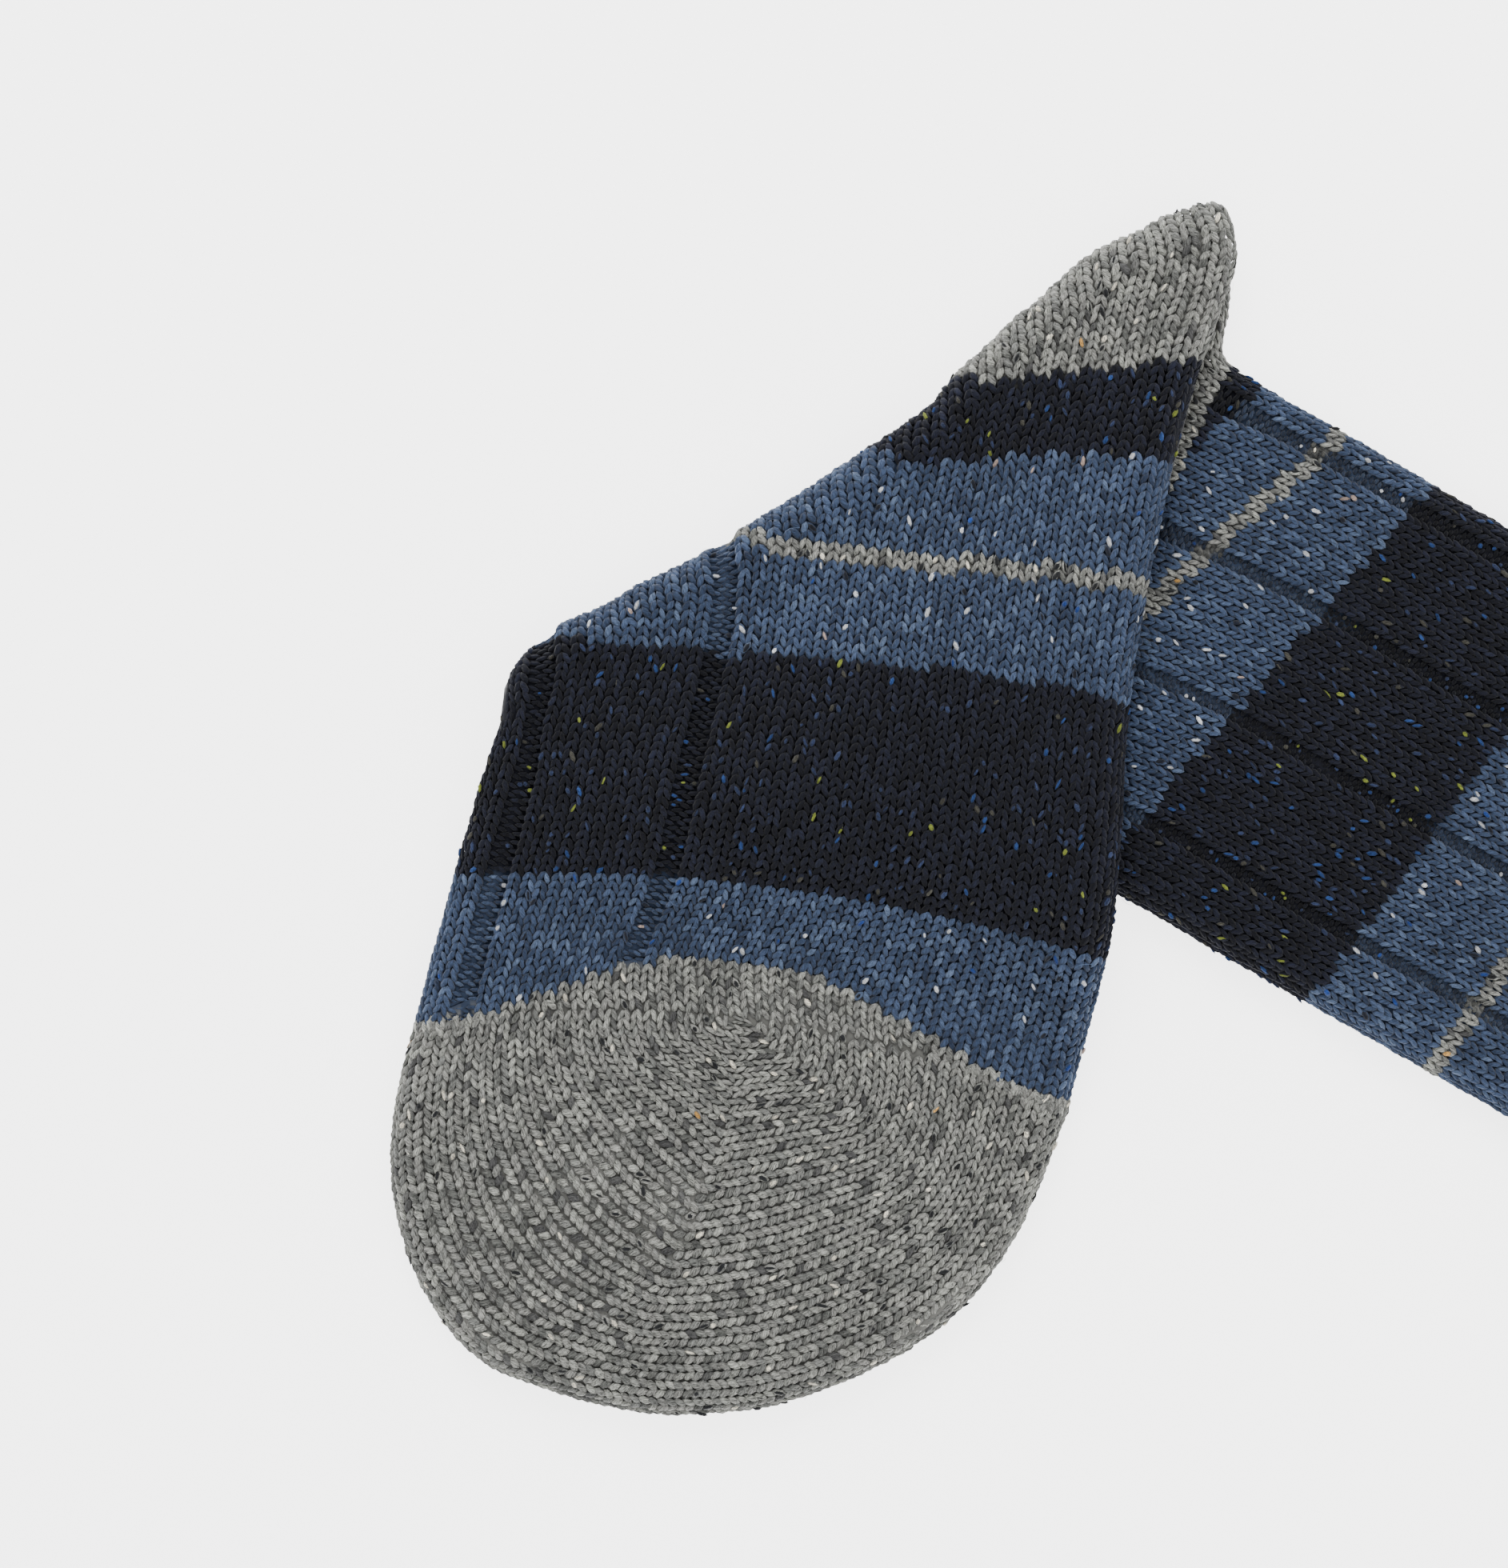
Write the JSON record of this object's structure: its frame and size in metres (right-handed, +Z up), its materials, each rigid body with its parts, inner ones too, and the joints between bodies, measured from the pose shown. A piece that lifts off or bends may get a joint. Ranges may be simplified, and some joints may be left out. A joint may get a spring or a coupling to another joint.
{
  "type": "sock",
  "caption": "Thick knitted wool sock lying flat, foot on top of its folded-back ribbed leg, hollow from the cuff to the toe.",
  "frame": {"origin": "on the ground under the middle of the leg, level with the ankle, at the sock's flat underside", "axes": "+Z up, +X along the leg towards the cuff, +Y towards the heel"},
  "size_m": [0.3092, 0.2554, 0.0203],
  "materials": {
    "grey_marl": "knitted wool marl",
    "navy_tweed": "knitted wool tweed",
    "blue_tweed": "knitted wool tweed"
  },
  "bodies": {
    "root": {"toe": "grey_marl", "foot": "navy_tweed", "heel": "grey_marl", "leg": "blue_tweed", "cuff": "grey_marl"}
  },
  "joints": []
}
